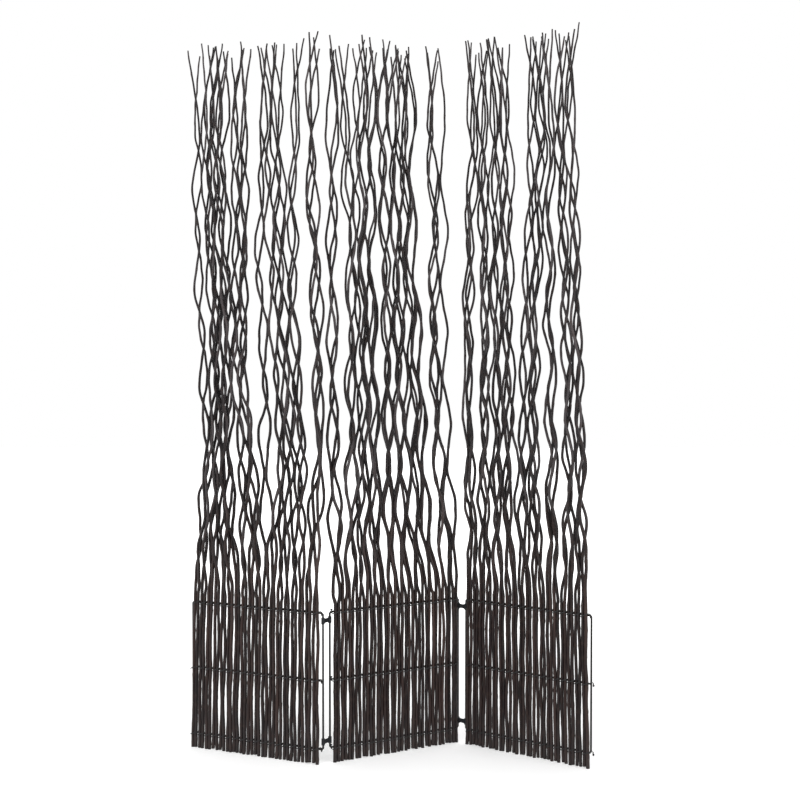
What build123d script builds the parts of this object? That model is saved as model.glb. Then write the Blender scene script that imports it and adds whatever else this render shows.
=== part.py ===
from build123d import *

import math
import os

import numpy as np

# Willow room divider: three panels of upright willow rods, each row of rods tied to a
# bent steel frame that stands behind its lower part, with the frames joined by
# figure-eight straps. Sizes are in millimetres. X runs across the screen, Y away from
# its front, Z up from the floor.

# the panels, seen from above
PANEL_WIDTH = 390.0
STRAP_LENGTH = 28.0
PANEL_TURN = {"left": -29.0, "middle": 34.0, "right": -41.0}
STRAP_TURN = {"left": 56.0, "right": -45.0}
MIDDLE_POST = (-138.4, -74.3)

# the steel frames
STEEL_R = 2.5
CROSS_BAR_R = 2.3
CORNER_CUT = 3.5
BOTTOM_BAR = 37.0
MIDDLE_BAR = 206.0
TOP_BAR = 373.0
BAR_HEIGHTS = {"bottom": BOTTOM_BAR, "middle": MIDDLE_BAR, "top": TOP_BAR}

# the straps round neighbouring posts
STRAP_HEIGHT = 16.0
STRAP_WAIST = 10.0
STRAP_WALL = 1.8
WEB_THICKNESS = 2.4
POST_CLEARANCE = 0.05
STRAP_MIDDLES = (56.0, 354.0)

# the willow rods
ROD_COUNT = 36
RODS_PER_GROUP = 3
ROD_SIDES = 3
END_MARGIN = 12.0
PAIR_PITCH = 9.3
ROD_SEAT = 0.1
TIP_HEIGHT = {"left": 1762.0, "middle": 1768.0, "right": 1786.0}
TIP_SCATTER = 24.0
FOOT_LIFT = 3.5
STANDING_EVERY = 5
BUTT_R = 5.2
BUTT_SHARES = (0.86, 1.0)
WIDTH_HEIGHTS = (0.0, 400.0, 1000.0, 1800.0)
WIDTH_SHARES = (1.0, 0.92, 0.7, 0.5)
# how far the feet stand out past the tied row, at the row's left and right end
FEET_SPREAD = {"left": (-10.0, -1.0), "middle": (-2.0, 1.0), "right": (-1.0, 8.0)}

# the waves of the free rods
LEAVE_HEIGHT = 392.0
HALF_WAVES = 12
# half waves grow longer with height: their ends stand at equal steps raised to this power
WAVE_STRETCH = 1.2
STEP_SCATTER = 0.12
WAVE_SWING = 11.0
SWING_SCATTER = (0.7, 1.25)
SWING_HEIGHTS = (392.0, 600.0, 1600.0, 1800.0)
SWING_SHARES = (0.15, 0.9, 1.05, 1.2)
LANE_PHASES = (0.15, 0.95)
PHASE_SCATTER = 0.12
GATHER_HEIGHT = 680.0
MIX_HEIGHT = 900.0
LANES_HEIGHT = 600.0
LANE_ORDER = (0, 2, 1, 3)
LANE_WAYS = (1, -1, -1, 1)
# how far a rod leaves its place in the row for an even place in its lane
LANE_SHARE = 0.6
LANE_SCATTER = 0.4
BUNDLE_WIDTH = 1.35
SEEDS = {"left": 5, "middle": 12, "right": 11}

# bundles that the free rods gather into, from left to right: number of rods, half of the
# bundle's spread, and where its middle runs along the panel at BUNDLE_HEIGHTS
BUNDLE_HEIGHTS = (550, 750, 950, 1150, 1350, 1550, 1780)
BUNDLES = {
    "left": (
        (2, 8, (37, 50, 40, 28, 22, 25, 10)),
        (12, 24, (87, 93, 99, 96, 80, 74, 87)),
        (6, 16, (181, 178, 152, 156, 159, 153, 162)),
        (2, 14, (231, 222, 225, 209, 206, 222, 216)),
        (7, 18, (281, 297, 281, 270, 260, 254, 248)),
        (3, 10, (334, 337, 325, 312, 310, 316, 334)),
        (4, 14, (372, 388, 382, 376, 366, 360, 376)),
    ),
    "middle": (
        (3, 6, (14, 9, 7, 6, 6, 8, 12)),
        (3, 9, (52, 58, 53, 58, 55, 36, 30)),
        (9, 24, (99, 108, 108, 99, 99, 99, 105)),
        (9, 24, (180, 189, 183, 183, 174, 165, 177)),
        (7, 18, (252, 260, 250, 237, 228, 224, 216)),
        (5, 18, (334, 328, 314, 312, 316, 302, 306)),
    ),
    "right": (
        (4, 10, (24, 12, 10, 8, 14, 24, 12)),
        (5, 12, (71, 71, 68, 68, 62, 62, 62)),
        (8, 20, (124, 134, 129, 120, 122, 119, 102)),
        (7, 18, (208, 210, 210, 213, 226, 234, 220)),
        (4, 11, (274, 276, 271, 268, 265, 268, 254)),
        (8, 20, (350, 346, 338, 330, 324, 309, 315)),
    ),
}

# keeping the rods apart, and clear of the neighbouring panels when they fold
SETTLE_STEP = 5.0
SETTLE_ROUNDS = 260
SETTLE_SHARE = 0.55
ROD_GAP = 0.5
BACK_REACH = -7.0
FRONT_REACH = 21.0
UPRIGHT_BACK = 4.5
BACK_LEAN = 0.0084
FOLD_FRONT = 9.5
FOLD_SLOPE = 0.2
PAST_POST = 5.0

# the winding that ties each row of rods to its bar
CORD_R = 0.9
CORD_SIDES = 3
CORD_PLAY = 0.35
BESIDE_ROD = 5.6
INSIDE_POST = 4.4
OUTSIDE_POST = 3.9
LOOPS = ROD_COUNT // 2
GAP_SAMPLES = 9

os.makedirs("parts", exist_ok=True)


def along(angle):
    """Unit direction on the floor at an angle in degrees from X."""
    return Vector(math.cos(math.radians(angle)), math.sin(math.radians(angle)), 0)


def panel_starts():
    """The left post of every panel, worked out from the middle panel's."""
    middle = Vector(*MIDDLE_POST, 0)
    left_end = middle - along(STRAP_TURN["left"]) * STRAP_LENGTH
    right_start = (
        middle
        + along(PANEL_TURN["middle"]) * PANEL_WIDTH
        + along(STRAP_TURN["right"]) * STRAP_LENGTH
    )
    left_start = left_end - along(PANEL_TURN["left"]) * PANEL_WIDTH
    return {"left": left_start, "middle": middle, "right": right_start}


def frame_plane(side):
    """The plane of a panel's frame: X along the panel, Y up, Z towards its front."""
    direction = along(PANEL_TURN[side])
    return Plane(
        STARTS[side], x_dir=direction, z_dir=direction.cross(Vector(0, 0, 1))
    )


def place(side, u, front, z):
    """The point at u along a panel, so far in front of its frame, at height z."""
    return PLANES[side].from_local_coords(Vector(u, z, front))


def rod_radii(z, butt):
    """Corner radius of a rod's section at height z, tapering from its butt."""
    return butt * np.interp(z, WIDTH_HEIGHTS, WIDTH_SHARES)


def row_positions():
    """Where the rods of a row are tied along the bars: pairs with a slit between them."""
    room = PANEL_WIDTH - 2 * END_MARGIN - PAIR_PITCH
    pair = np.arange(ROD_COUNT) // 2
    return END_MARGIN + pair * room / (LOOPS - 1) + (np.arange(ROD_COUNT) % 2) * PAIR_PITCH


def bundle_paths(side, lane, rng):
    """For every rod: its place in its bundle, low down and high up, its phase and its way.

    Low down, a bundle keeps the order of the row. High up, the rods of one lane stand
    evenly across the bundle and wave together, so rods cross only in different lanes."""
    starts, paths, phases, ways = [], [], [], []
    for count, half_width, middles in BUNDLES[side]:
        spread = half_width * BUNDLE_WIDTH
        rank = np.linspace(-1, 1, count)
        own = lane[len(paths) : len(paths) + count]
        lane_phase = rng.uniform(*LANE_PHASES, len(LANE_ORDER))
        turn = rng.choice([-1, 1])
        for k in range(count):
            mates = np.flatnonzero(own == own[k])
            step = 2 * np.searchsorted(mates, k) + 1 + rng.uniform(-LANE_SCATTER, LANE_SCATTER)
            even = step / len(mates) - 1
            starts.append(np.array(middles) + spread * rank[k])
            paths.append(np.array(middles) + spread * (rank[k] + (even - rank[k]) * LANE_SHARE))
            phases.append(lane_phase[own[k]] + rng.uniform(-PHASE_SCATTER, PHASE_SCATTER))
            ways.append(turn * LANE_WAYS[own[k]])
    return np.array(starts), np.array(paths), np.array(phases), np.array(ways)


def wave_stations(side):
    """Every rod of a panel as rows of stations: foot, top tie, then each crest and trough.

    A rod rises straight to the top bar. Above it, its stations are the crests and troughs
    of its wave, so each lies a half wave above the last, on alternate sides of the path."""
    rng = np.random.default_rng(SEEDS[side])
    row = row_positions()
    lane = np.resize(LANE_ORDER, ROD_COUNT)
    starts, paths, phases, ways = bundle_paths(side, lane, rng)
    butts = BUTT_R * rng.uniform(*BUTT_SHARES, ROD_COUNT)
    tips = TIP_HEIGHT[side] + rng.uniform(-TIP_SCATTER, TIP_SCATTER, ROD_COUNT)
    lifted = np.arange(ROD_COUNT) % STANDING_EVERY > 0
    feet = rng.uniform(0, FOOT_LIFT, ROD_COUNT) * lifted
    spread = np.interp(row, (0, PANEL_WIDTH), FEET_SPREAD[side])
    steps = np.arange(HALF_WAVES) + phases[:, None]
    steps[:, 1:] += rng.uniform(-STEP_SCATTER, STEP_SCATTER, (ROD_COUNT, HALF_WAVES - 1))
    steps[:, -1] = HALF_WAVES
    climbed = (steps / HALF_WAVES) ** WAVE_STRETCH
    free = LEAVE_HEIGHT + (tips - LEAVE_HEIGHT)[:, None] * climbed
    z = np.column_stack([feet, np.full(ROD_COUNT, LEAVE_HEIGHT), free])
    swing = WAVE_SWING * rng.uniform(*SWING_SCATTER, free.shape) * ways[:, None]
    swing *= np.where(np.arange(HALF_WAVES) % 2, 1, -1)
    swing *= np.interp(free, SWING_HEIGHTS, SWING_SHARES)
    low = np.array([np.interp(f, BUNDLE_HEIGHTS, p) for f, p in zip(free, starts)])
    high = np.array([np.interp(f, BUNDLE_HEIGHTS, p) for f, p in zip(free, paths)])
    mixed = np.clip((free - GATHER_HEIGHT) / (MIX_HEIGHT - GATHER_HEIGHT), 0, 1)
    gathered = np.clip((free - LEAVE_HEIGHT) / (GATHER_HEIGHT - LEAVE_HEIGHT), 0, 1)
    path = low + (high - low) * mixed
    path = row[:, None] + (path - row[:, None]) * gathered
    u = np.column_stack([row + spread, row, path + swing])
    tied = STEEL_R + ROD_SEAT + butts / 2
    lane_front = np.interp(lane, (0, len(LANE_ORDER) - 1), (BACK_REACH, FRONT_REACH))
    spaced = np.clip((free - LEAVE_HEIGHT) / (LANES_HEIGHT - LEAVE_HEIGHT), 0, 1)
    depth = tied[:, None] + (lane_front - tied)[:, None] * spaced
    front = np.column_stack([tied, tied, depth])
    return z, u, front, rod_radii(z, butts[:, None])


def keep_in_reach(side, z, u, front):
    """Hold the free rods inside the space that the folding panels leave them.

    They also stay in front of a plane that leans back a little from the tied row, so
    that nothing hangs into the open windows of the frame behind them."""
    low = 0.0 if side == "left" else -PAST_POST
    high = PANEL_WIDTH + (0.0 if side == "right" else PAST_POST)
    u = np.clip(u, low, high)
    limit = np.full(u.shape, FRONT_REACH)
    if side == "middle":
        limit = np.minimum(limit, FOLD_FRONT + FOLD_SLOPE * (PANEL_WIDTH - u))
    if side == "right":
        limit = np.minimum(limit, FOLD_FRONT + FOLD_SLOPE * u)
    back = np.maximum(BACK_REACH, UPRIGHT_BACK - BACK_LEAN * z)
    return u, np.clip(front, back, limit)


def settle(side, z, u, front, radius):
    """Push apart rods that would touch, level by level, and leave the tied parts alone.

    At each level, a rod's place is a mean of the stations below and above it. Two rods
    nearer than their radii and ROD_GAP are moved apart along the line between them, and
    each station takes the mean of the moves that it is part of."""
    levels = np.arange(LEAVE_HEIGHT, z.max(), SETTLE_STEP)
    share = np.zeros((ROD_COUNT, len(levels), z.shape[1]))
    for rod in range(ROD_COUNT):
        above = np.clip(np.searchsorted(z[rod], levels), 1, z.shape[1] - 1)
        part = (levels - z[rod, above - 1]) / (z[rod, above] - z[rod, above - 1])
        rows = np.arange(len(levels))
        inside = part <= 1
        share[rod, rows, above] = part * inside
        share[rod, rows, above - 1] = (1 - part) * inside
    size = np.einsum("rls,rs->rl", share, radius)
    present = size > 0
    both = present[:, None] & present[None]
    both &= ~np.eye(ROD_COUNT, dtype=bool)[:, :, None]
    least = size[:, None] + size[None] + ROD_GAP
    worst = 0.0
    for _ in range(SETTLE_ROUNDS):
        x = np.einsum("rls,rs->rl", share, u)
        y = np.einsum("rls,rs->rl", share, front)
        dx, dy = x[:, None] - x[None], y[:, None] - y[None]
        away = np.hypot(dx, dy) + 1e-9
        short = np.where(both, np.clip(least - away, 0, None), 0)
        worst = short.max() - ROD_GAP
        move_x = (short * dx / away).sum(1) * SETTLE_SHARE
        move_y = (short * dy / away).sum(1) * SETTLE_SHARE
        touched = (short.max(1) > 0).astype(float)
        weight = np.einsum("rls,rl->rs", share, touched) + 1e-9
        step_u = np.einsum("rls,rl->rs", share, move_x) / weight
        step_front = np.einsum("rls,rl->rs", share, move_y) / weight
        u[:, 2:] += step_u[:, 2:]
        front[:, 2:] += step_front[:, 2:]
        u[:, 2:], front[:, 2:] = keep_in_reach(side, z[:, 2:], u[:, 2:], front[:, 2:])
    print(f"{side} panel: rods overlap by at most {max(worst, 0):.2f} mm")
    return u, front


def panel_rods(side):
    """Stations of every rod of a panel: height, place along it, place in front, radius."""
    z, u, front, radius = wave_stations(side)
    u[:, 2:], front[:, 2:] = keep_in_reach(side, z[:, 2:], u[:, 2:], front[:, 2:])
    u, front = settle(side, z, u, front, radius)
    return z, u, front, radius


def make_frame(side):
    """A steel rod folded into a rectangle, each corner in two short bends, and butt welded.

    The rod starts and ends at the middle of the bottom bar, where it is welded."""
    plane = PLANES[side]
    middle, right = PANEL_WIDTH / 2, PANEL_WIDTH
    with BuildPart() as frame:
        with BuildLine(plane) as route:
            Polyline(
                (middle, BOTTOM_BAR),
                (right - CORNER_CUT, BOTTOM_BAR),
                (right, BOTTOM_BAR + CORNER_CUT),
                (right, TOP_BAR - CORNER_CUT),
                (right - CORNER_CUT, TOP_BAR),
                (CORNER_CUT, TOP_BAR),
                (0, TOP_BAR - CORNER_CUT),
                (0, BOTTOM_BAR + CORNER_CUT),
                (CORNER_CUT, BOTTOM_BAR),
                (middle, BOTTOM_BAR),
            )
        start = place(side, middle, 0, BOTTOM_BAR)
        with BuildSketch(Plane(start, x_dir=plane.z_dir, z_dir=plane.x_dir)):
            Circle(STEEL_R)
        sweep(path=route.wires()[0], transition=Transition.RIGHT)
    frame.part.label = f"{side}_frame"
    export_step(frame.part, f"parts/{side}_frame.step")
    return frame.part


def make_cross_bar(side):
    """The middle bar, coped to sit on the frame's two posts."""
    plane = PLANES[side]
    with BuildPart() as bar:
        start = place(side, 0, 0, MIDDLE_BAR)
        with BuildSketch(Plane(start, x_dir=plane.z_dir, z_dir=plane.x_dir)):
            Circle(CROSS_BAR_R)
        extrude(amount=PANEL_WIDTH)
        for u in (0, PANEL_WIDTH):
            with BuildSketch(Plane(place(side, u, 0, MIDDLE_BAR - 2 * STEEL_R))):
                Circle(STEEL_R)
            extrude(amount=4 * STEEL_R, mode=Mode.SUBTRACT)
    bar.part.label = f"{side}_cross_bar"
    export_step(bar.part, f"parts/{side}_cross_bar.step")
    return bar.part


def make_rods(side, group, z, u, front, radius):
    """A few neighbouring willow rods, each lofted through its stations."""
    toward_front = PLANES[side].z_dir
    with BuildPart() as rods:
        for rod in range(group * RODS_PER_GROUP, (group + 1) * RODS_PER_GROUP):
            for k in range(z.shape[1]):
                centre = place(side, u[rod, k], front[rod, k], z[rod, k])
                with BuildSketch(Plane(centre, x_dir=toward_front, z_dir=(0, 0, 1))):
                    RegularPolygon(radius[rod, k], ROD_SIDES)
            loft(ruled=True)
    name = f"{side}_willow_rods_{group + 1:02d}"
    rods.part.label = name
    export_step(rods.part, f"parts/{name}.step")
    return rods.part


def winding_points(side, height, z, u, radius):
    """Corners of a winding: a turn round the bar and each pair of rods, from end to end."""
    part = (height - z[:, 0]) / (z[:, 1] - z[:, 0])
    at = u[:, 0] + (u[:, 1] - u[:, 0]) * part
    slits = (at[1:-1:2] + at[2::2]) / 2
    first = at[0] - BESIDE_ROD
    last = PANEL_WIDTH - at[-1] - BESIDE_ROD
    first, last = (x if x > INSIDE_POST else min(x, -OUTSIDE_POST) for x in (first, last))
    slits = np.concatenate([[first], slits, [PANEL_WIDTH - last]])
    rise = STEEL_R + CORD_R + CORD_PLAY
    back = -(STEEL_R + CORD_R + CORD_PLAY)
    out = STEEL_R + ROD_SEAT + 1.5 * radius[:, 0].max() + CORD_R + CORD_PLAY
    points = [(slits[0], back, height + rise), (slits[0], back, height - rise)]
    for here, there in zip(slits[:-1], slits[1:]):
        points.append((here, out, height - rise))
        points.append((there, out, height + rise))
        points.append((there, back, height + rise))
        points.append((there, back, height - rise))
    return [place(side, *point) for point in points]


def least_self_gap(points):
    """How near a winding comes to itself, between stretches that don't meet at a corner."""
    line = np.array([tuple(p) for p in points])
    steps = np.linspace(0, 1, GAP_SAMPLES)[:, None, None]
    samples = (line[:-1] * (1 - steps) + line[1:] * steps).transpose(1, 0, 2)
    least = np.inf
    for k in range(len(samples) - 2):
        others = samples[k + 2 :].reshape(-1, 3)
        away = np.linalg.norm(samples[k][:, None] - others[None], axis=2)
        least = min(least, away.min())
    return least - 2 * CORD_R


def make_winding(side, row, z, u, radius):
    """The black cord that ties one row of rods to its bar."""
    points = winding_points(side, BAR_HEIGHTS[row], z, u, radius)
    with BuildPart() as winding:
        with BuildLine() as route:
            Polyline(*points)
        with BuildSketch(Plane(points[0], z_dir=points[1] - points[0])):
            RegularPolygon(CORD_R, CORD_SIDES)
        sweep(path=route.wires()[0], transition=Transition.RIGHT)
    name = f"{side}_{row}_lashing"
    winding.part.label = name
    export_step(winding.part, f"parts/{name}.step")
    print(f"{name}: {LOOPS} loops, least gap to itself {least_self_gap(points):.2f} mm")
    return winding.part


def make_straps(side):
    """Two figure-eight straps: each an eye round two posts, and a waisted web between."""
    direction = along(STRAP_TURN[side])
    normal = direction.cross(Vector(0, 0, 1))
    half, waist = STRAP_HEIGHT / 2, STRAP_WAIST / 2
    bore = STEEL_R + POST_CLEARANCE
    with BuildPart() as straps:
        for middle in STRAP_MIDDLES:
            centre = STRAP_STARTS[side] + Vector(0, 0, middle)
            with BuildSketch(Plane(centre, x_dir=direction, z_dir=normal)):
                with BuildLine():
                    ThreePointArc((0, half), (STRAP_LENGTH / 2, waist), (STRAP_LENGTH, half))
                    Line((STRAP_LENGTH, half), (STRAP_LENGTH, -half))
                    ThreePointArc((STRAP_LENGTH, -half), (STRAP_LENGTH / 2, -waist), (0, -half))
                    Line((0, -half), (0, half))
                make_face()
            extrude(amount=WEB_THICKNESS / 2, both=True)
            floor = Plane(centre - Vector(0, 0, half), x_dir=direction, z_dir=(0, 0, 1))
            with BuildSketch(floor):
                with Locations((0, 0), (STRAP_LENGTH, 0)):
                    Circle(bore + STRAP_WALL)
            extrude(amount=STRAP_HEIGHT)
            with BuildSketch(floor):
                with Locations((0, 0), (STRAP_LENGTH, 0)):
                    Circle(bore)
            extrude(amount=STRAP_HEIGHT, mode=Mode.SUBTRACT)
    name = f"{side}_hinge_straps"
    straps.part.label = name
    export_step(straps.part, f"parts/{name}.step")
    return straps.part


STARTS = panel_starts()
PLANES = {side: frame_plane(side) for side in PANEL_TURN}
STRAP_STARTS = {
    "left": STARTS["left"] + along(PANEL_TURN["left"]) * PANEL_WIDTH,
    "right": STARTS["middle"] + along(PANEL_TURN["middle"]) * PANEL_WIDTH,
}

pieces = []
for side in PANEL_TURN:
    rods = panel_rods(side)
    pieces.append(make_frame(side))
    pieces.append(make_cross_bar(side))
    for row in BAR_HEIGHTS:
        pieces.append(make_winding(side, row, rods[0], rods[1], rods[3]))
    for group in range(ROD_COUNT // RODS_PER_GROUP):
        pieces.append(make_rods(side, group, *rods))
for side in STRAP_TURN:
    pieces.append(make_straps(side))

whole = Compound(children=pieces).bounding_box()
print(f"{len(pieces)} pieces, from {whole.min} to {whole.max}")
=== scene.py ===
# %% [markdown]
# # A willow room divider
#
# The real screen is three panels of willow rods. Each panel stands on its rods' cut ends,
# and a bent steel frame holds the lower part of its rods in a row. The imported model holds
# all of that at its real size, with every rod as a three-sided bar through the crests and
# troughs of its wave. This script dresses it: it gives the rods their round, tapering,
# knotted bark, winds the cord, and finishes the steel and the straps.
#
# The model is loaded first and never moved, so that every new piece can be worked out
# from it, and so that the looks and the moving joints stay in one frame.

import math

import bpy
import numpy as np
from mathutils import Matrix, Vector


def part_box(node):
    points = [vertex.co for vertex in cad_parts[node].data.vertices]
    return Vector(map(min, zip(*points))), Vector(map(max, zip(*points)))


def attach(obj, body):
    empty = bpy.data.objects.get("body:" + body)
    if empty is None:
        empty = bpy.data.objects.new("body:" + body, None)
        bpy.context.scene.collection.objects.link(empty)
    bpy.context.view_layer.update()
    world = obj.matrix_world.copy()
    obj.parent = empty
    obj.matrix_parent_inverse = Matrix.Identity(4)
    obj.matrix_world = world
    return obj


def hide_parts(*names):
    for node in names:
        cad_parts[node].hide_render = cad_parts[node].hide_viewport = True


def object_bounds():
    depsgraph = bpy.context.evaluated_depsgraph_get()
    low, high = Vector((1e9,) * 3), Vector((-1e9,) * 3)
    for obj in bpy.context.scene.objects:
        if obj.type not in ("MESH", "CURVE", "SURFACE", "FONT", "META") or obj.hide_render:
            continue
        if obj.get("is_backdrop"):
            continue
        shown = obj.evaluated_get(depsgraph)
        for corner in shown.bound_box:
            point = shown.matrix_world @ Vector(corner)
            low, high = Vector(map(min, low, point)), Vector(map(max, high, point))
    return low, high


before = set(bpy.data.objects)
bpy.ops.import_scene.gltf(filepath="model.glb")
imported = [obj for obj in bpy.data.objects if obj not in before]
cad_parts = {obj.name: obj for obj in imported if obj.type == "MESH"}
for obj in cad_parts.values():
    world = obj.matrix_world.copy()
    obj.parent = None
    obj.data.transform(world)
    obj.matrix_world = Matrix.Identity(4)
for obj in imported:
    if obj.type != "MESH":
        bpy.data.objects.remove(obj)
CAD_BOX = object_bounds()
SIDES = ("left", "middle", "right")
ROWS = ("bottom", "middle", "top")
UP = np.array([0, 0, 1])

# %% [markdown]
# ## The camera
#
# The photograph was taken from a little over four metres away, from about the height of a
# chest, and the screen fills its height. So the lens is a long one, which keeps the rods
# nearly upright, and the camera looks down by two degrees, which brings the feet and the
# tips into the frame. Shifting the lens would have kept the rods quite upright, but a
# shifted lens cuts the object off when it is looked at from other sides.

# %% A camera on a long lens, looking slightly down
CAMERA_PLACE = (0.0344, -4.1858, 1.0409)
CAMERA_TILT = math.radians(2.04)
FOCAL_PIXELS = 1679.7
PICTURE_PIXELS = 800
SENSOR_WIDTH = 36.0

camera_data = bpy.data.cameras.new("camera")
camera_data.sensor_width = SENSOR_WIDTH
camera_data.lens = FOCAL_PIXELS / PICTURE_PIXELS * SENSOR_WIDTH
camera = bpy.data.objects.new("camera", camera_data)
camera.location = CAMERA_PLACE
camera.rotation_euler = (math.pi / 2 - CAMERA_TILT, 0, 0)
bpy.context.scene.collection.objects.link(camera)
bpy.context.scene.camera = camera
bpy.context.scene.view_settings.view_transform = "Standard"
print("lens of", round(camera_data.lens, 1), "mm")

# %% [markdown]
# ## Node materials in few lines
#
# Every finish below is a small graph of nodes. One helper adds a node, sets its fields and
# wires or fills its inputs, so that each material reads as a list of what it is made of.
# The other helpers are the steps that several finishes share: a colour ramp, a roughness
# that follows a pattern, and a bump.

# %% Helpers for building node materials


def add_node(tree, kind, inputs=None, **fields):
    """Add a node; an input given as a node or an output is wired, any other is set."""
    new = tree.nodes.new(kind)
    for field, value in fields.items():
        setattr(new, field, value)
    for key, value in (inputs or {}).items():
        if isinstance(value, bpy.types.Node):
            tree.links.new(value.outputs[0], new.inputs[key])
        elif isinstance(value, bpy.types.NodeSocket):
            tree.links.new(value, new.inputs[key])
        else:
            new.inputs[key].default_value = value
    return new


def colour_ramp(tree, factor, *stops):
    """A ramp with a linear colour at each stop: (place, (red, green, blue))."""
    ramp = add_node(tree, "ShaderNodeValToRGB", {"Fac": factor})
    elements = ramp.color_ramp.elements
    while len(elements) < len(stops):
        elements.new(0.5)
    for element, (place, colour) in zip(elements, stops):
        element.position = place
        element.color = (*colour, 1)
    return ramp.outputs["Color"]


def blank_material(name):
    """A new material, its node tree and its shader."""
    material = bpy.data.materials.new(name)
    material.use_nodes = True
    return material, material.node_tree, material.node_tree.nodes["Principled BSDF"]


def set_roughness(tree, shader, pattern, least, most):
    """Roughness from a pattern: least where it is 0, most where it is 1."""
    rough = {"Value": pattern, "To Min": least, "To Max": most}
    sheen = add_node(tree, "ShaderNodeMapRange", rough)
    tree.links.new(sheen.outputs["Result"], shader.inputs["Roughness"])


def set_bump(tree, shader, pattern, strength, depth):
    """A bump whose height is a pattern times a depth in metres."""
    bumps = {"Height": pattern, "Strength": strength, "Distance": depth}
    bump = add_node(tree, "ShaderNodeBump", bumps)
    tree.links.new(bump.outputs["Normal"], shader.inputs["Normal"])


# %% [markdown]
# ## The studio floor
#
# The photograph is a cut-out on white with a faint shadow at the foot. A pale floor runs
# under the screen. Seen by the camera, it glows a little, which lifts it to white where it
# is lit and leaves the shadow on it, and further out it glows fully, so that its edge melts
# into the white world. More light would whiten it too, but would bleach the rods as well.

# %% The floor
WHITE = (1, 1, 1, 1)
SQUARE = ((-1, -1), (1, -1), (1, 1), (-1, 1))
FLOOR_REACH = 12.0
FLOOR_COLOUR = (0.86, 0.86, 0.86, 1)
FLOOR_ROUGHNESS = 0.9
FLOOR_GLOSS = 0.1
FLOOR_GLOW = 0.34
# where the floor's glow starts to grow and where it is full, in metres from the middle
GLOW_FADE = (0.9, 3.0)


def seen_directly(tree):
    """1 for a ray from the camera, or one that glass or a gloss has sent on, else 0."""
    path = add_node(tree, "ShaderNodeLightPath")
    straight = {0: path.outputs["Is Camera Ray"], 1: path.outputs["Is Glossy Ray"]}
    either = add_node(tree, "ShaderNodeMath", straight, operation="MAXIMUM")
    through = {0: either, 1: path.outputs["Is Transmission Ray"]}
    return add_node(tree, "ShaderNodeMath", through, operation="MAXIMUM")


def floor_material():
    """White where it is lit: the glow grows with the distance from the middle."""
    material, tree, shader = blank_material("studio_floor")
    shader.inputs["Base Color"].default_value = FLOOR_COLOUR
    shader.inputs["Roughness"].default_value = FLOOR_ROUGHNESS
    shader.inputs["Specular IOR Level"].default_value = FLOOR_GLOSS
    shader.inputs["Emission Color"].default_value = WHITE
    place = add_node(tree, "ShaderNodeTexCoord").outputs["Object"]
    far = add_node(tree, "ShaderNodeVectorMath", {0: place}, operation="LENGTH")
    fade = {"Value": far.outputs["Value"], "From Min": GLOW_FADE[0], "From Max": GLOW_FADE[1]}
    fade.update({"To Min": FLOOR_GLOW, "To Max": 1.0})
    glow = {0: seen_directly(tree), 1: add_node(tree, "ShaderNodeMapRange", fade)}
    shown = add_node(tree, "ShaderNodeMath", glow, operation="MULTIPLY")
    tree.links.new(shown.outputs[0], shader.inputs["Emission Strength"])
    return material


floor_mesh = bpy.data.meshes.new("studio_floor")
floor_corners = [(x * FLOOR_REACH, y * FLOOR_REACH, 0) for x, y in SQUARE]
floor_mesh.from_pydata(floor_corners, [], [(0, 1, 2, 3)])
floor_mesh.materials.append(floor_material())
floor = bpy.data.objects.new("studio_floor", floor_mesh)
bpy.context.scene.collection.objects.link(floor)
floor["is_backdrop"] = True
print("a floor of", 2 * FLOOR_REACH, "m")

# %% [markdown]
# ## World and lamps
#
# The camera sees a white world, and the object is lit by a soft grey one, because a world
# of full white would take the shade out of the dark rods. Three large lamps give the soft,
# even light of a studio: the key from the left, a weaker fill from the right, and one from
# behind that draws the rods' edges.

# %% The world's light
WORLD_LIGHT = 0.62

world = bpy.data.worlds.new("studio")
world.use_nodes = True
bpy.context.scene.world = world
tree = world.node_tree
tree.nodes.clear()
light = add_node(tree, "ShaderNodeBackground", {"Color": WHITE, "Strength": WORLD_LIGHT})
white = add_node(tree, "ShaderNodeBackground", {"Color": WHITE, "Strength": 1.0})
both = add_node(tree, "ShaderNodeMixShader", {0: seen_directly(tree), 1: light, 2: white})
add_node(tree, "ShaderNodeOutputWorld", {"Surface": both})
print("world light of", WORLD_LIGHT)

# %% Three soft lamps
LAMP_AIM = np.array([0.0, 0.0, 0.9])
# each lamp's place, the length of its sides in metres, and its power in watts
LAMPS = {
    "key": ((-2.2, -3.4, 3.2), 3.2, 95.0),
    "fill": ((2.8, -2.6, 2.2), 3.0, 55.0),
    "back": ((0.4, 2.6, 3.0), 3.0, 40.0),
}


def add_lamp(name, place, size, power):
    """A square soft lamp, turned by the yaw and the pitch of the line to its aim."""
    data = bpy.data.lights.new(name, "AREA")
    data.size = size
    data.energy = power
    lamp = bpy.data.objects.new(name, data)
    lamp.location = place
    toward = LAMP_AIM - np.array(place)
    yaw = math.atan2(toward[1], toward[0])
    pitch = math.atan2(toward[2], math.hypot(toward[0], toward[1]))
    lamp.rotation_euler = (math.pi / 2 + pitch, 0, yaw - math.pi / 2)
    bpy.context.scene.collection.objects.link(lamp)


for lamp_name, lamp_facts in LAMPS.items():
    add_lamp(lamp_name, *lamp_facts)
print(len(LAMPS), "lamps")

# %% [markdown]
# ## Reading the rods from the model
#
# A node of the model is a mesh of loose triangles. Its rods are found in three steps: the
# vertices at one place are made one, the vertices that triangles join are gathered into
# rods, and the rods' vertices are sorted by height. Each station of a rod is a triangle at
# one height, so its middle is the rod's centre there, and its corners give its thickness.
# Reading the rods in this way keeps them on the steel and inside their joints' clearance,
# which guessing new ones from the photograph couldn't promise.

# %% Stations of every rod
CORNERS = 3


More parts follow.
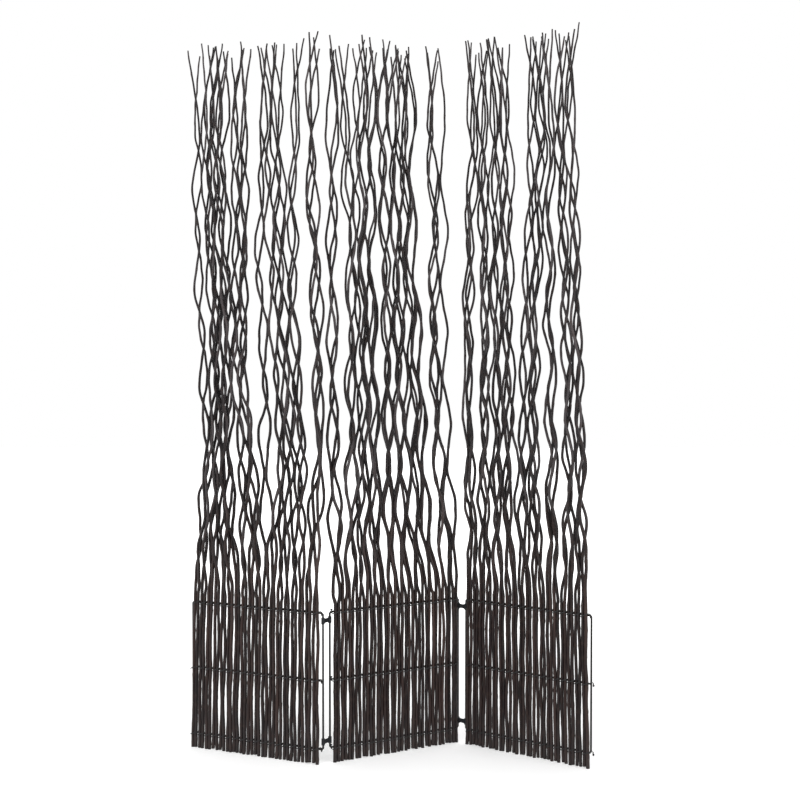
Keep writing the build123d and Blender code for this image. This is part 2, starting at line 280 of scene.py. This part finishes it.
def merged_mesh(node):
    """Places and triangles of a node, with the vertices at one place made one."""
    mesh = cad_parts[node].data
    points = np.empty(len(mesh.vertices) * 3)
    mesh.vertices.foreach_get("co", points)
    mesh.calc_loop_triangles()
    corners = np.empty(len(mesh.loop_triangles) * 3, dtype=np.int64)
    mesh.loop_triangles.foreach_get("vertices", corners)
    places, index = np.unique(points.reshape(-1, 3).round(6), axis=0, return_inverse=True)
    return places, index.ravel()[corners].reshape(-1, 3)


def piece_numbers(places, triangles):
    """A number for each vertex, alike for the vertices that triangles join.

    Each vertex starts with its own number and takes the least number among the corners
    of its triangles, again and again, until no number changes."""
    numbers = np.arange(len(places))
    while True:
        least = numbers.copy()
        np.minimum.at(least, triangles.ravel(), numbers[triangles].min(axis=1).repeat(3))
        if (least == numbers).all():
            return numbers
        numbers = least


def rod_stations(node):
    """For each rod of a node: the centre of every station, and the corners' distance."""
    places, triangles = merged_mesh(node)
    numbers = piece_numbers(places, triangles)
    rods = []
    for number in np.unique(numbers):
        mine = places[numbers == number]
        mine = mine[np.argsort(mine[:, 2])].reshape(-1, CORNERS, 3)
        centre = mine.mean(axis=1)
        across = np.linalg.norm(mine - centre[:, None], axis=2).mean(axis=1)
        rods.append((centre, across))
    return rods


RODS = {}
for side in SIDES:
    for node in sorted(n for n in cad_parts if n.startswith(f"{side}_willow_rods")):
        RODS[node] = rod_stations(node)
print(sum(len(rods) for rods in RODS.values()), "rods in", len(RODS), "nodes")

# %% [markdown]
# ## Which way a panel faces
#
# The feet of a panel's rods stand in one straight line. That line is the panel's own
# direction, and the level direction square to it is its front. Both are needed to bend
# the rods in their own plane and to wind the cord round them.

# %% Each panel's direction and front


def panel_axes(side):
    """The panel's direction and its front: the line that fits its feet best, turned to run
    to the right, and that line turned a quarter towards the viewer."""
    feet = [rod[0][0] for node in RODS if node.startswith(side) for rod in RODS[node]]
    feet = np.array(feet)[:, :2]
    along = np.linalg.svd(feet - feet.mean(axis=0))[2][0]
    along = along * np.sign(along[0])
    front = np.array([along[1], -along[0]])
    return np.append(along, 0), np.append(front, 0)


AXES = {side: panel_axes(side) for side in SIDES}
for side, (along, _) in AXES.items():
    print(side, "panel turned", round(math.degrees(math.atan2(along[1], along[0])), 1))

# %% [markdown]
# ## The smooth line of a rod
#
# A rod is a tube with a round section carried along a smooth line. The line runs through
# the rod's stations on cubics. A ready-made spline would swing past the stations, and two
# rods that pass close by would cut through each other. Here a cubic at a crest or a trough
# runs level with the rod's path, so the rod swings like a wave and never past its stations,
# which keeps it in the room that the model gives it.

# %% Cubics between stations
# the station at the top of the tied part, counted from the foot
TIED_TOP = 1


def even_slopes(heights, values):
    """Slopes for cubics through stations, with no swing past any of them.

    The slope at a station is nought where the line turns back, and otherwise the
    harmonic mean of the slopes before and after it. The first stretch stays straight."""
    before = np.diff(values, axis=0) / np.diff(heights)[:, None]
    lower, upper = before[:-1], before[1:]
    turning = lower * upper <= 0
    safe = np.where(turning, 1.0, lower + upper)
    inner = np.where(turning, 0.0, 2 * lower * upper / safe)
    slopes = np.vstack([before[:1], inner, before[-1:]])
    slopes[TIED_TOP] = before[0]
    return slopes


def cubic_line(heights, values, at):
    """Values at new heights: on each stretch a cubic with the stations' values and slopes."""
    slopes = even_slopes(heights, values)
    k = np.clip(np.searchsorted(heights, at) - 1, 0, len(heights) - 2)
    span = (heights[k + 1] - heights[k])[:, None]
    t = (at - heights[k])[:, None] / span
    start = (1 + 2 * t) * (1 - t) ** 2 * values[k] + t * (1 - t) ** 2 * span * slopes[k]
    end = t * t * (3 - 2 * t) * values[k + 1] + t * t * (t - 1) * span * slopes[k + 1]
    return start + end


wave = np.array([[0], [0], [1], [0], [1]])
between = cubic_line(np.arange(5.0), wave, np.linspace(0, 4, 41))
print("a wave from 0 to 1 stays between", between.min(), "and", between.max())

# %% [markdown]
# ## Bends of its own
#
# Below the top bar a rod's stations lie on one straight line, but a real rod bows a little
# between the bars that hold it, which closes some slits and opens others, and about every
# second rod stands slightly forward of its neighbours. Above the bars real willow bends a
# little at every bud. Slow and quick sines give both, from each rod's own chance, since
# modelling the bends of 108 rods by hand would take far longer and look no better.

# %% The centre line of a rod
RING_STEP = 0.006
# the round rod's radius as a share of the distance of its section's corners
ROUND_SHARE = 0.92
# how far a tied rod bows sideways between the bars, over what lengths, and how much by chance
BEND_REACH = 0.0028
BEND_LENGTHS = (0.24, 0.46)
BEND_SHARES = (0.3, 1)
# how far some of the rods stand forward between the bars
STEP_FORWARD = 0.0018
# the height over which a bar holds a rod still, and those over which bends start or end
BAR_HOLD = 0.035
TIED_FADE = 0.02
FREE_FADE = 0.1
# length and reach of the quick bends of the free part
QUICK_BENDS = ((0.083, 0.0006), (0.047, 0.00035))

ROW_BOXES = [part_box(f"middle_{row}_lashing") for row in ROWS]
BAR_HEIGHTS = np.array([(low[2] + high[2]) / 2 for low, high in ROW_BOXES])


def stem_line(side, stations, across, rng):
    """The points of a rod's centre line, and its radius at each.

    Sideways: the cubic line, and below the top bar one slow sine, held still at each bar.
    Forwards: the cubic line, and below the top bar the small step forward between bars,
    and the shift that lays the round rod on the bars, as its section's flat back does,
    which is half as far from its middle as its corners are. Above: two quick sines."""
    along, front = AXES[side]
    heights = stations[:, 2]
    count = int((heights[-1] - heights[0]) / RING_STEP)
    at = np.linspace(heights[0], heights[-1], count)
    flat = np.column_stack([stations @ along, stations @ front])
    line = cubic_line(heights, flat, at)
    radius = np.interp(at, heights, across) * ROUND_SHARE
    wave = rng.uniform(*BEND_LENGTHS)
    bend = np.sin(2 * np.pi * (at / wave + rng.uniform())) * rng.uniform(*BEND_SHARES)
    bars = (at[:, None] - BAR_HEIGHTS) / BAR_HOLD
    held = 1 - np.exp(-(bars**2)).max(axis=1)
    tied = np.clip((heights[TIED_TOP] - at) / TIED_FADE, 0, 1)
    free = np.clip((at - heights[TIED_TOP]) / FREE_FADE, 0, 1)
    line[:, 0] += BEND_REACH * bend * held * tied
    line[:, 1] += STEP_FORWARD * rng.choice([0, 1]) * held * tied
    line[:, 1] += (radius - radius / ROUND_SHARE / 2) * (1 - free)
    for length, reach in QUICK_BENDS:
        phase = rng.uniform(0, 2 * np.pi, 2)
        line += reach * free[:, None] * np.sin(2 * np.pi * at[:, None] / length + phase)
    centre = line[:, :1] * along + line[:, 1:] * front
    centre[:, 2] = at
    return centre, radius


print("bars at", BAR_HEIGHTS.round(4))

# %% [markdown]
# ## Buds, and the round section
#
# Real willow is not a plain tube. It swells a little at every bud, and the buds climb round
# the stem, each 137.5 degrees on from the last. A bump in the material wouldn't show at the
# rod's edge, so the swelling is in the mesh: it makes the radius larger on the bud's side.

# %% The rings of a rod
RING_SIDES = 10
BUD_STEP = 0.041
BUD_LENGTH = 0.0042
BUD_SWELL = 0.22
BUD_TURN = math.radians(137.5)
FIRST_BUD = 0.02
BUD_SCATTER = 0.012
# the share of its swelling that a bud also has on its back
BUD_BACK = 0.3
TIP_LENGTH = 0.06
TIP_SHARE = 0.8


def ring_angles(sides):
    """Equal angles round a section."""
    return np.arange(sides) * 2 * np.pi / sides


def unit_rings(x, y, sides):
    """A circle of radius 1 for each pair of axes: cosine times x plus sine times y."""
    angle = ring_angles(sides)
    return np.cos(angle)[:, None] * x[:, None] + np.sin(angle)[:, None] * y[:, None]


def rising_axes(centre, along):
    """Two axes square to a rising line: the panel's direction made square to it, and the
    cross product of the line's direction and that one."""
    tangent = np.gradient(centre, centre[:, 2], axis=0)
    tangent /= np.linalg.norm(tangent, axis=1)[:, None]
    x = along - tangent * (tangent @ along)[:, None]
    x /= np.linalg.norm(x, axis=1)[:, None]
    return x, np.cross(tangent, x)


def bud_marks(at, rng):
    """How near each height is to a bud, and how much each point of its ring swells.

    Nearness: e to the minus square of the distance over the bud's length. Swelling: the
    nearness, times the square of the cosine of the angle to the bud on the bud's half."""
    buds = np.arange(at[0] + FIRST_BUD, at[-1], BUD_STEP)
    buds = buds + rng.uniform(-BUD_SCATTER, BUD_SCATTER, len(buds))
    near = np.exp(-(((at[:, None] - buds) / BUD_LENGTH) ** 2))
    turned = ring_angles(RING_SIDES) - np.arange(len(buds))[:, None] * BUD_TURN
    facing = np.cos(turned).clip(0) ** 2
    swell = 1 + BUD_SWELL * near @ (BUD_BACK + (1 - BUD_BACK) * facing)
    return near.sum(axis=1), swell


def rod_rings(side, stations, across, rng):
    """Rings of points round a rod, from its foot to its tip, the line, and the bud marks.

    Each ring is the centre plus the radius times a unit circle square to the line. The
    radius swells at the buds and tapers over the tip, and the lowest ring is level."""
    centre, radius = stem_line(side, stations, across, rng)
    at = centre[:, 2]
    x, y = rising_axes(centre, AXES[side][0])
    scars, swell = bud_marks(at, rng)
    taper = np.interp(at[-1] - at, (0, TIP_LENGTH), (TIP_SHARE, 1))
    spread = (radius * taper)[:, None] * swell
    rings = centre[:, None] + spread[..., None] * unit_rings(x, y, RING_SIDES)
    rings[0, :, 2] = at[0]
    return rings, centre, scars


first_node = next(iter(RODS))
trial, _, _ = rod_rings(SIDES[0], *RODS[first_node][0], np.random.default_rng(0))
print("one rod has", len(trial), "rings of", RING_SIDES, "points")

# %% [markdown]
# ## From rings to a mesh
#
# The rods and the cords are both tubes, so one function makes the mesh of either. The
# vertex numbers of all quads come from one small sum, and whole arrays are handed over at
# once, which is many times faster than adding one face after another.

# %% Faces of a tube and its map


def tube_faces(rings, sides):
    """Quads between neighbouring rings, as four vertex numbers each, facing outwards."""
    ring = np.arange(rings - 1)[:, None] * sides
    side_now = np.arange(sides)
    side_next = (side_now + 1) % sides
    corners = [ring + side_now, ring + side_next]
    corners += [ring + sides + side_next, ring + sides + side_now]
    return np.stack(corners, axis=-1).reshape(-1, 4)


def cap_faces(first, centre, sides, outward_up):
    """Triangles from the middle of an end to its ring."""
    now = first + np.arange(sides)
    after = first + (np.arange(sides) + 1) % sides
    middle = np.full(sides, centre)
    order = (middle, now, after) if outward_up else (middle, after, now)
    return np.stack(order, axis=-1)


def tube_map(rings):
    """Each quad corner's place on the surface: the share of the way round the tube, and
    the metres along it, which are the lengths of the steps between rings added up."""
    count, sides = rings.shape[:2]
    steps = np.linalg.norm(np.diff(rings.mean(axis=1), axis=0), axis=1)
    length = np.append(0, steps.cumsum())
    share = np.arange(sides + 1) / sides
    u = np.stack([share[:-1], share[1:], share[1:], share[:-1]], axis=-1)
    v = np.stack([length[:-1], length[:-1], length[1:], length[1:]], axis=-1)
    u = np.broadcast_to(u, (count - 1, sides, 4))
    v = np.broadcast_to(v[:, None], (count - 1, sides, 4))
    return np.stack([u, v], axis=-1).reshape(-1, 2)


print(len(tube_faces(*trial.shape[:2])), "quads on that rod")

# %% Several tubes in one piece
MAP_NAME = "along_the_stem"


def put_in_mesh(name, tubes, attributes):
    """One mesh from several tubes, with a value for each vertex in each attribute.

    A tube is its rings and the two points that close its ends. Its vertices are numbered
    on from those of the tubes before it, and the faces of the ends come after all quads."""
    vertices, quads, caps, maps = [], [], [], []
    first = 0
    for rings, ends in tubes:
        count, sides = rings.shape[:2]
        low, high = first + count * sides, first + count * sides + 1
        vertices += [rings.reshape(-1, 3), ends]
        quads.append(tube_faces(count, sides) + first)
        caps.append(cap_faces(first, low, sides, False))
        caps.append(cap_faces(low - sides, high, sides, True))
        maps.append(tube_map(rings))
        first = high + 1
    vertices, quads, caps = map(np.concatenate, (vertices, quads, caps))
    corners = np.concatenate([quads.ravel(), caps.ravel()])
    sizes = np.repeat([4, 3], [len(quads), len(caps)])
    mesh = bpy.data.meshes.new(name)
    mesh.vertices.add(len(vertices))
    mesh.vertices.foreach_set("co", vertices.ravel())
    mesh.loops.add(len(corners))
    mesh.loops.foreach_set("vertex_index", corners)
    mesh.polygons.add(len(sizes))
    mesh.polygons.foreach_set("loop_start", np.append(0, sizes.cumsum()[:-1]))
    mesh.polygons.foreach_set("use_smooth", sizes == 4)
    maps.append(np.zeros((caps.size, 2)))
    surface = mesh.uv_layers.new(name=MAP_NAME)
    surface.data.foreach_set("uv", np.concatenate(maps).ravel())
    for attribute, values in attributes.items():
        layer = mesh.attributes.new(attribute, "FLOAT", "POINT")
        layer.data.foreach_set("value", np.concatenate(values))
    mesh.update()
    mesh.validate()
    piece = bpy.data.objects.new(name, mesh)
    bpy.context.scene.collection.objects.link(piece)
    return piece


# %% [markdown]
# ## The bark
#
# The willow is stained almost black. Close to, it is dark brown with fine lengthwise
# grain, redder in the tied part, greyer at the feet, and each rod has a tone of its own.
# Higher up, some stretches of it are painted pale grey, a painted sheen for the light along
# the rods. The bark has a soft sheen.
#
# The grain follows each stem, so it reads the mesh's own map, on which noise is drawn out
# along the stem. A pattern on the object's own place would run straight through the bends.
# A bump from the same grain roughens the surface. The bud scars are a little lighter, from
# an attribute that the mesh carries.

# %% The bark's colours and measures
BARK_DEEP = (0.0040, 0.0022, 0.0024)
BARK_MIDDLE = (0.0150, 0.0078, 0.0072)
BARK_LIGHT = (0.0520, 0.0290, 0.0240)
FOOT_GREY = (0.0400, 0.0330, 0.0330, 1)
BUD_BROWN = (0.0400, 0.0240, 0.0190, 1)
# upper colours: dark stretches and a pale grey painted sheen, which stands for light along
# the rods
UPPER_DARK = (0.0095, 0.0080, 0.0090)
PAINTED_SHEEN_GREY = (0.0780, 0.0690, 0.0720)
# how far apart two rods' places in the noise are, and how much its tone lightens a rod
TONE_SPACING = 40.0
TONE_WEIGHT = 0.55
# the noise's size round the stem and along it: fine grain and wide patches
GRAIN_SCALE = (11.0, 22.0, 1.0)
PATCH_SCALE = (1.2, 5.0, 1.0)
# the sum of grain, patches and tone at the ramp's dark end and at its light end
MARKS_RANGE = (0.78, 1.85)
# heights between which the upper colours with the painted sheen come in, their share, and
# where the painted sheen starts
PAINTED_SHEEN_HEIGHTS = (0.38, 0.75)
PAINTED_SHEEN_SHARE = 0.75
PAINTED_SHEEN_STOPS = (0.50, 0.63)
FOOT_HEIGHT = 0.13
FOOT_SHARE = 0.55
BARK_GLOSS = 0.22
BARK_ROUGHNESS = (0.30, 0.56)
BARK_BUMP = (0.3, 0.0004)
print("bark from", BARK_DEEP, "to", BARK_LIGHT)

# %% The willow material


def blend_colour(tree, share, first, second):
    """A mix of two colours; the socket numbers pick the Mix node's colour sockets."""
    inputs = {0: share, 6: first, 7: second}
    return add_node(tree, "ShaderNodeMix", inputs, data_type="RGBA").outputs[2]


def map_range(tree, value, start, end, most=1.0):
    """0 where the value is start, rising evenly to most where it is end."""
    inputs = {"Value": value, "From Min": start, "From Max": end, "To Max": most}
    return add_node(tree, "ShaderNodeMapRange", inputs).outputs["Result"]


def drawn_noise(tree, place, scale, detail):
    """Noise with its own scale in each direction, so that its spots are drawn out."""
    scaled = add_node(tree, "ShaderNodeMapping", {"Vector": place, "Scale": scale})
    noise = {"Vector": scaled, "Scale": 1.0, "Detail": detail}
    return add_node(tree, "ShaderNodeTexNoise", noise).outputs["Fac"]


def height_colours(tree, bark, patches):
    """The bark's colour with a painted grey sheen higher up, and greyer towards the foot."""
    place = add_node(tree, "ShaderNodeTexCoord").outputs["Object"]
    height = add_node(tree, "ShaderNodeSeparateXYZ", {0: place}).outputs["Z"]
    # painted sheen: pale grey stretches higher up, placed by the patches, stand for light
    # along the rods
    upper = map_range(tree, height, *PAINTED_SHEEN_HEIGHTS, PAINTED_SHEEN_SHARE)
    painted_sheen = colour_ramp(tree, patches, *zip(PAINTED_SHEEN_STOPS, (UPPER_DARK, PAINTED_SHEEN_GREY)))
    # greyer towards the foot, below FOOT_HEIGHT
    greyer_foot = map_range(tree, height, FOOT_HEIGHT, 0.0, FOOT_SHARE)
    return blend_colour(tree, greyer_foot, blend_colour(tree, upper, bark, painted_sheen), FOOT_GREY)


def make_bark():
    """Dark stained bark: grain along the stem, a tone for each rod, lighter bud scars.

    The share of the light colour is grain plus patches plus the tone times its weight."""
    material, tree, shader = blank_material("stained_willow")
    surface = add_node(tree, "ShaderNodeUVMap", uv_map=MAP_NAME)
    tone = add_node(tree, "ShaderNodeAttribute", attribute_name="rod_tone").outputs["Fac"]
    bud = add_node(tree, "ShaderNodeAttribute", attribute_name="bud").outputs["Fac"]
    apart = add_node(tree, "ShaderNodeMath", {0: tone, 1: TONE_SPACING}, operation="MULTIPLY")
    own_place = add_node(tree, "ShaderNodeCombineXYZ", {"Z": apart})
    moved = {0: surface, 1: own_place}
    stem = add_node(tree, "ShaderNodeVectorMath", moved, operation="ADD")
    grain = drawn_noise(tree, stem, GRAIN_SCALE, 4.0)
    patches = drawn_noise(tree, stem, PATCH_SCALE, 2.0)
    marks = add_node(tree, "ShaderNodeMath", {0: grain, 1: patches}, operation="ADD")
    weighed = {0: tone, 1: TONE_WEIGHT, 2: marks}
    toned = add_node(tree, "ShaderNodeMath", weighed, operation="MULTIPLY_ADD")
    share = map_range(tree, toned, *MARKS_RANGE)
    bark = colour_ramp(tree, share, (0.0, BARK_DEEP), (0.5, BARK_MIDDLE), (1.0, BARK_LIGHT))
    scarred = blend_colour(tree, bud, height_colours(tree, bark, patches), BUD_BROWN)
    tree.links.new(scarred, shader.inputs["Base Color"])
    shader.inputs["Specular IOR Level"].default_value = BARK_GLOSS
    set_roughness(tree, shader, grain, *BARK_ROUGHNESS)
    set_bump(tree, shader, marks, *BARK_BUMP)
    return material


BARK = make_bark()
print("bark of", len(BARK.node_tree.nodes), "nodes")

# %% [markdown]
# ## Growing the rods
#
# Each new piece stands for one node of the model, so it holds the same three rods and rides
# on the same panel. The seed comes from the piece's own number, so that a rod looks the same
# on every run.

# %% Every rod in its place
# how strongly the scars show at the middle of a bud
SCAR_SHARE = 0.5


def grow_rods(number, node):
    """The round rods of one node, in one piece, with their tone and bud attributes."""
    side = node.split("_")[0]
    rng = np.random.default_rng(number)
    tubes, tones, buds = [], [], []
    for stations, across in RODS[node]:
        rings, centre, scars = rod_rings(side, stations, across, rng)
        tubes.append((rings, centre[[0, -1]]))
        tones.append(np.full(rings.shape[0] * RING_SIDES + 2, rng.uniform(0, 1)))
        buds.append(np.append(scars.clip(0, 1).repeat(RING_SIDES) * SCAR_SHARE, (0, 0)))
    piece = put_in_mesh(f"grown_{node}", tubes, {"rod_tone": tones, "bud": buds})
    piece.data.materials.append(BARK)
    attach(piece, f"{side}_panel")
    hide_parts(node)
    return len(piece.data.polygons)


faces = [grow_rods(number, node) for number, node in enumerate(RODS)]
print(len(faces), "pieces of willow,", sum(faces), "faces")

# %% [markdown]
# ## The cord windings
#
# One cord ties each row of rods to its bar. From behind the bar it comes forward through
# a slit, low down, crosses a pair of rods on a slant, goes back through the next slit,
# high up, and drops behind the bar. So from the front it shows as a row of short slanting
# strokes, and from behind as short upright ones. The real winding is two strands laid side
# by side. The corners of the route are worked out from the rods, and cutting them again
# and again makes each turn round.

# %% Measures of the steel and the cord
STEEL_RADIUS = 0.0025
STRAND_RADIUS = 0.00075
STRAND_PLAY = 0.0003
# how far the winding's ends stand from the outer rods, and inside or outside of a post
SLIT_REACH = 0.0056
POST_INSIDE = 0.0044
POST_OUTSIDE = 0.0039


def rods_at(side, height):
    """Places of a panel's rods along it at a height, in order, and their sizes."""
    along, _ = AXES[side]
    rods = [rod for node in RODS if node.startswith(side) for rod in RODS[node]]
    u = [np.interp(height, places[:, 2], places @ along) for places, _ in rods]
    size = [np.interp(height, places[:, 2], across) for places, across in rods]
    order = np.argsort(u)
    return np.array(u)[order], np.array(size)[order]


def frame_line(side):
    """Where a panel's posts stand along it, and where its frame is from back to front."""
    along, front = AXES[side]
    places, _ = merged_mesh(f"{side}_frame")
    u, f = places @ along, places @ front
    return u.min() + STEEL_RADIUS, u.max() - STEEL_RADIUS, (f.min() + f.max()) / 2


for side in SIDES:
    left_post, right_post, _ = frame_line(side)
    print(side, "posts", round(right_post - left_post, 4), "m apart")

# %% The route of a winding
CORNER_CUTS = 3


def cut_corners(points, times):
    """A rounder line: each stretch keeps its middle half, and the cut corners join up."""
    for _ in range(times):
        quarter = points[:-1] * 0.75 + points[1:] * 0.25
        later = points[:-1] * 0.25 + points[1:] * 0.75
        inner = np.stack([quarter, later], axis=1).reshape(-1, 3)
        points = np.vstack([points[:1], inner, points[-1:]])
    return points


def winding_route(side, row, lay):
    """One strand's corners, from the left end of its bar to the right end.

    Two strands lie side by side: one above the other in front and in the slits, and
    beside each other behind the bar. lay is 1 for one strand and -1 for the other."""
    along, front = AXES[side]
    low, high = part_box(f"{side}_{row}_lashing")
    bar = (low[2] + high[2]) / 2
    left_post, right_post, line = frame_line(side)
    u, size = rods_at(side, bar)
    ends = (u[0] - SLIT_REACH - left_post, right_post - u[-1] - SLIT_REACH)
    first, last = (x if x > POST_INSIDE else min(x, -POST_OUTSIDE) for x in ends)
    slits = [left_post + first, *((u[1:-1:2] + u[2::2]) / 2), right_post - last]
    rise = STEEL_RADIUS + STRAND_RADIUS * 2 + STRAND_PLAY
    back = line - STEEL_RADIUS - STRAND_RADIUS - STRAND_PLAY
    out = line + STEEL_RADIUS + size.max() * 2 * ROUND_SHARE + STRAND_RADIUS + STRAND_PLAY
    beside = STRAND_RADIUS * lay
    corners = [(slits[0] + beside, back, bar + rise), (slits[0] + beside, back, bar - rise)]
    for here, there in zip(slits[:-1], slits[1:]):
        corners.append((here, out, bar - rise + beside))
        corners.append((there, out, bar + rise + beside))
        corners.append((there + beside, back, bar + rise))
        corners.append((there + beside, back, bar - rise))
    u, f, z = np.array(corners).T
    return u[:, None] * along + f[:, None] * front + z[:, None] * UP


route_trial = winding_route("middle", "top", 1)
rounded = cut_corners(route_trial, CORNER_CUTS)
print(len(route_trial), "corners of a strand become", len(rounded), "points")

# %% [markdown]
# ## Strands and knots
#
# A strand turns in every direction, so its rings can't take their axes from one fixed
# direction, as the rods' rings do. Each ring's axes are those of the ring before it, turned
# as little as possible, which keeps the tube from twisting. The ends of the cord are tied
# off, and a small trefoil, the line of an overhand knot, stands for that.

# %% Tubes for strands and knots
STRAND_SIDES = 6
# a direction that no strand or knot starts along
OFF_THE_LINE = (0.3, 0.2, 0.9)
KNOT_POINTS = 60
# the trefoil's inner radius, in strand radii
KNOT_SHARE = 1.15


def strand_rings(points, radius):
    """Rings square to a line: the points plus the radius times unit circles, whose axes
    come from the last ring's, less what of them lies along the line."""
    steps = np.gradient(points, axis=0)
    steps /= np.linalg.norm(steps, axis=1)[:, None]
    across = np.cross(steps[0], OFF_THE_LINE)
    x = np.empty_like(points)
    for k, step in enumerate(steps):
        across = across - step * (across @ step)
        across /= np.linalg.norm(across)
        x[k] = across
    return points[:, None] + radius * unit_rings(x, np.cross(steps, x), STRAND_SIDES)


def knot_line(place, along, front):
    """A trefoil: sin t + 2 sin 2t along, cos t - 2 cos 2t up, and sin 3t forwards."""
    t = np.linspace(0, 2 * np.pi, KNOT_POINTS)
    x, y, z = np.sin(t) + 2 * np.sin(2 * t), np.cos(t) - 2 * np.cos(2 * t), np.sin(3 * t)
    spread = x[:, None] * along + z[:, None] * front + y[:, None] * UP
    return place + STRAND_RADIUS * KNOT_SHARE * spread


print("a strand has", len(strand_rings(rounded, STRAND_RADIUS)), "rings")

# %% [markdown]
# ## The cord's finish
#
# The cord is matt black, and its two strands are twisted yarn. The twist is a slanting
# stripe on the strand's own map, which gives both a faint change of colour and the bump.
# Modelling the yarn itself would take a hundred times the faces and hardly show.

# %% The cord material
CORD_BLACK = (0.010, 0.0095, 0.0100)
# the cord's paler colour on the crests of the twist, darker in its grooves
CORD_CREST_GREY = (0.030, 0.028, 0.029)
CORD_ROUGHNESS = 0.78
CORD_BUMP = (0.5, 0.0002)
TWISTS_A_METRE = 420.0


def make_cord():
    """Matt black twisted cord: the sine of a full turn times the share of the way round
    plus the number of twists along."""
    material, tree, shader = blank_material("black_cord")
    surface = add_node(tree, "ShaderNodeUVMap", uv_map=MAP_NAME)
    slant = {"Vector": surface, "Scale": (1.0, TWISTS_A_METRE, 1.0)}
    slanted = add_node(tree, "ShaderNodeMapping", slant)
    parts = add_node(tree, "ShaderNodeSeparateXYZ", {0: slanted})
    summed = {0: parts.outputs["X"], 1: parts.outputs["Y"]}
    turns = add_node(tree, "ShaderNodeMath", summed, operation="ADD")
    angle = add_node(tree, "ShaderNodeMath", {0: turns, 1: 2 * math.pi}, operation="MULTIPLY")
    twist = add_node(tree, "ShaderNodeMath", {0: angle}, operation="SINE")
    share = map_range(tree, twist, -1.0, 1.0)
    colour = colour_ramp(tree, share, (0.0, CORD_BLACK), (1.0, CORD_CREST_GREY))
    tree.links.new(colour, shader.inputs["Base Color"])
    shader.inputs["Roughness"].default_value = CORD_ROUGHNESS
    set_bump(tree, shader, twist, *CORD_BUMP)
    return material


CORD = make_cord()
print("cord of", len(CORD.node_tree.nodes), "nodes")

# %% [markdown]
# ## Winding the rows
#
# Each of the nine rows gets two strands and two knots in one piece, which stands for the
# model's own winding and rides on the same panel, so that it turns with the rods it ties.

# %% Winding the cord round every row


def wind_row(side, row):
    """Both strands of a row's winding, with a knot at each end."""
    along, front = AXES[side]
    lines = [cut_corners(winding_route(side, row, lay), CORNER_CUTS) for lay in (1, -1)]
    lines += [knot_line(lines[0][end], along, front) for end in (0, -1)]
    tubes = [(strand_rings(line, STRAND_RADIUS), line[[0, -1]]) for line in lines]
    node = f"{side}_{row}_lashing"
    piece = put_in_mesh(f"wound_{node}", tubes, {})
    piece.data.materials.append(CORD)
    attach(piece, f"{side}_panel")
    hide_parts(node)
    return len(piece.data.polygons)


faces = [wind_row(side, row) for side in SIDES for row in ROWS]
print(len(faces), "windings,", sum(faces), "faces")

# %% [markdown]
# ## Steel and straps
#
# The frames and their cross bars are round steel, painted satin black, and the straps are
# dark, slightly blue rubber. Their shapes are right as the model has them, so they stay,
# and only get a finish. Both finishes read the place on the object, since these pieces
# have no map of their own.

# %% The steel and strap materials
PAINT = (0.0060, 0.0054, 0.0056)
PAINT_WORN = (0.0300, 0.0265, 0.0255)
RUBBER = (0.0085, 0.0095, 0.0120)
RUBBER_PALE = (0.0260, 0.0285, 0.0340)
SOFT_GLOSS = 0.3
SPECK_DETAIL = 6.0
SPECK_STOPS = (0.62, 0.78)
SPECK_BUMP = 0.4


def speckled(name, dark, pale, scale, roughness, depth):
    """A two-tone finish from fine noise, which also sets the roughness and the bump."""
    material, tree, shader = blank_material(name)
    place = add_node(tree, "ShaderNodeTexCoord").outputs["Object"]
    noise = {"Vector": place, "Scale": scale, "Detail": SPECK_DETAIL}
    cloud = add_node(tree, "ShaderNodeTexNoise", noise).outputs["Fac"]
    colour = colour_ramp(tree, cloud, *zip(SPECK_STOPS, (dark, pale)))
    tree.links.new(colour, shader.inputs["Base Color"])
    shader.inputs["Specular IOR Level"].default_value = SOFT_GLOSS
    set_roughness(tree, shader, cloud, *roughness)
    set_bump(tree, shader, cloud, SPECK_BUMP, depth)
    return material


STEEL = speckled("painted_steel", PAINT, PAINT_WORN, 240.0, (0.28, 0.5), 0.0002)
STRAP = speckled("strap_rubber", RUBBER, RUBBER_PALE, 380.0, (0.5, 0.75), 0.0003)
FINISHES = {"_frame": STEEL, "_cross_bar": STEEL, "_straps": STRAP}

for ending, finish in FINISHES.items():
    finished = [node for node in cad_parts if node.endswith(ending)]
    for node in finished:
        for material_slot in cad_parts[node].material_slots:
            material_slot.material = finish
    print(finish.name, "on", finished)

# %% Sizes, and the end
DRESSED_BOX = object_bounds()
boxes = {"cad": CAD_BOX, "dressed": DRESSED_BOX}
plain = {name: [[float(x) for x in corner] for corner in box] for name, box in boxes.items()}
for name, (low, high) in plain.items():
    print(name, [round(b - a, 4) for a, b in zip(low, high)])
